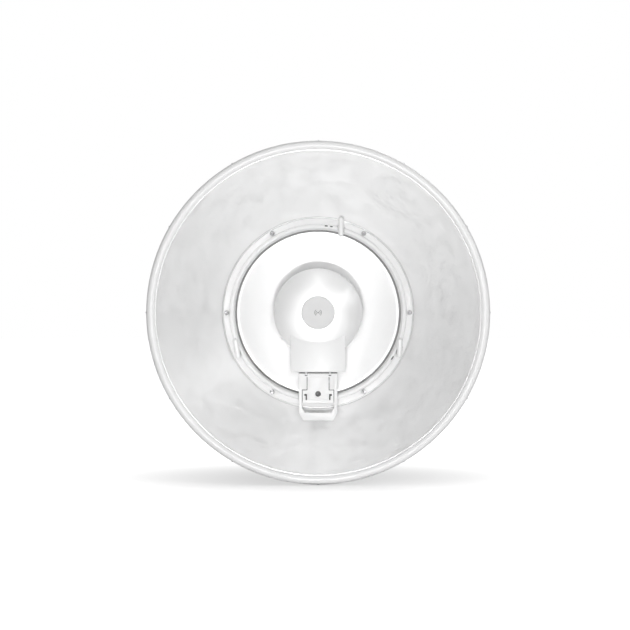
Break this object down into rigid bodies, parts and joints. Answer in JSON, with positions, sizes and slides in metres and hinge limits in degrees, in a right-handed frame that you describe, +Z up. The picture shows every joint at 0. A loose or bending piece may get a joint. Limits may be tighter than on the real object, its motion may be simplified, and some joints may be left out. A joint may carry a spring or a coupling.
{
  "type": "outdoor wireless bridge",
  "caption": "Small dish radio with a front feed head on a hollow arm, set in a conical isolator shroud with a rolled rim, on a two-axis pole bracket.",
  "frame": {"origin": "on the pole's axis at the middle of the clamp", "axes": "+Z up along the pole, the antenna looks along -Y, +X to the viewer's right when facing the dish"},
  "size_m": [0.3802, 0.2934, 0.3802],
  "materials": {
    "bracket_plastic": "satin, light grey",
    "swivel_plastic": "satin, light grey",
    "knob_plastic": "fine moulded grain, dark grey",
    "stainless": "brushed",
    "plated_steel": "zinc plated",
    "hub_casting": "satin, near white",
    "dish_paint": "white powder coat, satin",
    "shroud_paint": "light grey powder coat, satin",
    "trim_white": "white, semi-gloss",
    "ring_plastic": "satin, near white",
    "clip_plastic": "white, semi-gloss",
    "dome_plastic": "satin, near white",
    "badge_grey": "matt, pale grey",
    "arm_plastic": "satin, near white",
    "cover_plastic": "satin, near white",
    "seal_rubber": "matt, dark grey",
    "board_green": "solder mask, semi-gloss",
    "tinplate": "tinned",
    "gold_contact": "gold plated",
    "jack_black": "black",
    "light_pipe": "clear, frosted end",
    "button_grey": "mid grey",
    "ground_brass": "plain"
  },
  "bodies": {
    "bracket": {"pole_bracket": "bracket_plastic", "pole_strap": "stainless", "strap_screw_housing": "stainless", "azimuth_bolt": "plated_steel"},
    "head": {"elevation_bolt": "plated_steel", "rear_hub": "hub_casting", "hub_plate": "plated_steel", "hub_screws": "plated_steel", "foot_screws": "plated_steel", "ground_screw": "ground_brass", "dish_reflector": "dish_paint", "mounting_ring": "ring_plastic", "ring_screws": "stainless", "ring_nuts": "plated_steel", "shroud": "shroud_paint", "rim_trim": "trim_white", "rim_catches": "plated_steel", "clip_posts": "stainless", "feed_dome": "dome_plastic", "feed_badge": "badge_grey", "feed_rear_housing": "dome_plastic", "feed_seal": "seal_rubber", "feed_board": "board_green", "feed_standoffs": "plated_steel", "feed_patch": "tinplate", "feed_header": "jack_black", "arm_front_cover": "arm_plastic", "arm_seal": "seal_rubber", "arm_rear_housing": "arm_plastic", "arm_screws": "stainless", "status_light_pipes": "light_pipe", "main_board": "board_green", "board_standoffs": "plated_steel", "shield_can": "tinplate", "ethernet_jack": "jack_black", "jack_contacts": "gold_contact", "reset_switch": "jack_black", "bay_plate": "cover_plastic", "cover_hinge_pin": "stainless"},
    "strap_screw": {"strap_screw": "plated_steel"},
    "azimuth_knob": {"azimuth_knob": "knob_plastic"},
    "swivel": {"swivel_block": "swivel_plastic"},
    "elevation_knob": {"elevation_knob": "knob_plastic"},
    "clip_top": {"turn_clip_top": "clip_plastic"},
    "clip_left": {"turn_clip_left": "clip_plastic"},
    "clip_right": {"turn_clip_right": "clip_plastic"},
    "cover": {"port_cover": "cover_plastic"},
    "tongue": {"release_tongue": "cover_plastic"},
    "reset": {"reset_button": "button_grey"}
  },
  "joints": [
    {"name": "azimuth", "type": "hinge", "parent": "bracket", "child": "swivel", "pos_m": [0, -0.05, 0], "axis": [0, 0, 1], "range_deg": [-20, 20]},
    {"name": "elevation", "type": "hinge", "parent": "swivel", "child": "head", "pos_m": [0, -0.074, 0], "axis": [1, 0, 0], "range_deg": [-20, 20]},
    {"name": "azimuth_knob_turn", "type": "hinge", "parent": "bracket", "child": "azimuth_knob", "pos_m": [0, -0.05, -0.024], "axis": [0, 0, -1], "continuous": true},
    {"name": "elevation_knob_turn", "type": "hinge", "parent": "head", "child": "elevation_knob", "pos_m": [-0.0171, -0.074, 0], "axis": [-1, 0, 0], "continuous": true},
    {"name": "strap_screw_turn", "type": "hinge", "parent": "bracket", "child": "strap_screw", "pos_m": [0, 0.0298, 0], "axis": [1, 0, 0], "continuous": true},
    {"name": "clip_top_turn", "type": "hinge", "parent": "head", "child": "clip_top", "pos_m": [0.02666, -0.13605, 0.09949], "axis": [0, 1, 0], "range_deg": [0, 90]},
    {"name": "clip_left_turn", "type": "hinge", "parent": "head", "child": "clip_left", "pos_m": [-0.09409, -0.13605, -0.04189], "axis": [0, 1, 0], "range_deg": [-90, 0]},
    {"name": "clip_right_turn", "type": "hinge", "parent": "head", "child": "clip_right", "pos_m": [0.09446, -0.13605, -0.04107], "axis": [0, 1, 0], "range_deg": [0, 90]},
    {"name": "cover_hinge", "type": "hinge", "parent": "head", "child": "cover", "pos_m": [0, -0.16835, -0.0702], "axis": [-1, 0, 0], "range_deg": [0, 90]},
    {"name": "tongue_press", "type": "hinge", "parent": "cover", "child": "tongue", "pos_m": [0, -0.16845, -0.074], "axis": [1, 0, 0], "range_deg": [0, 4], "stiffness_Nm_per_rad": 0.5},
    {"name": "reset_press", "type": "slide", "parent": "head", "child": "reset", "axis": [0, 1, 0], "range_m": [0, 0.0006], "stiffness_N_per_m": 1000}
  ]
}
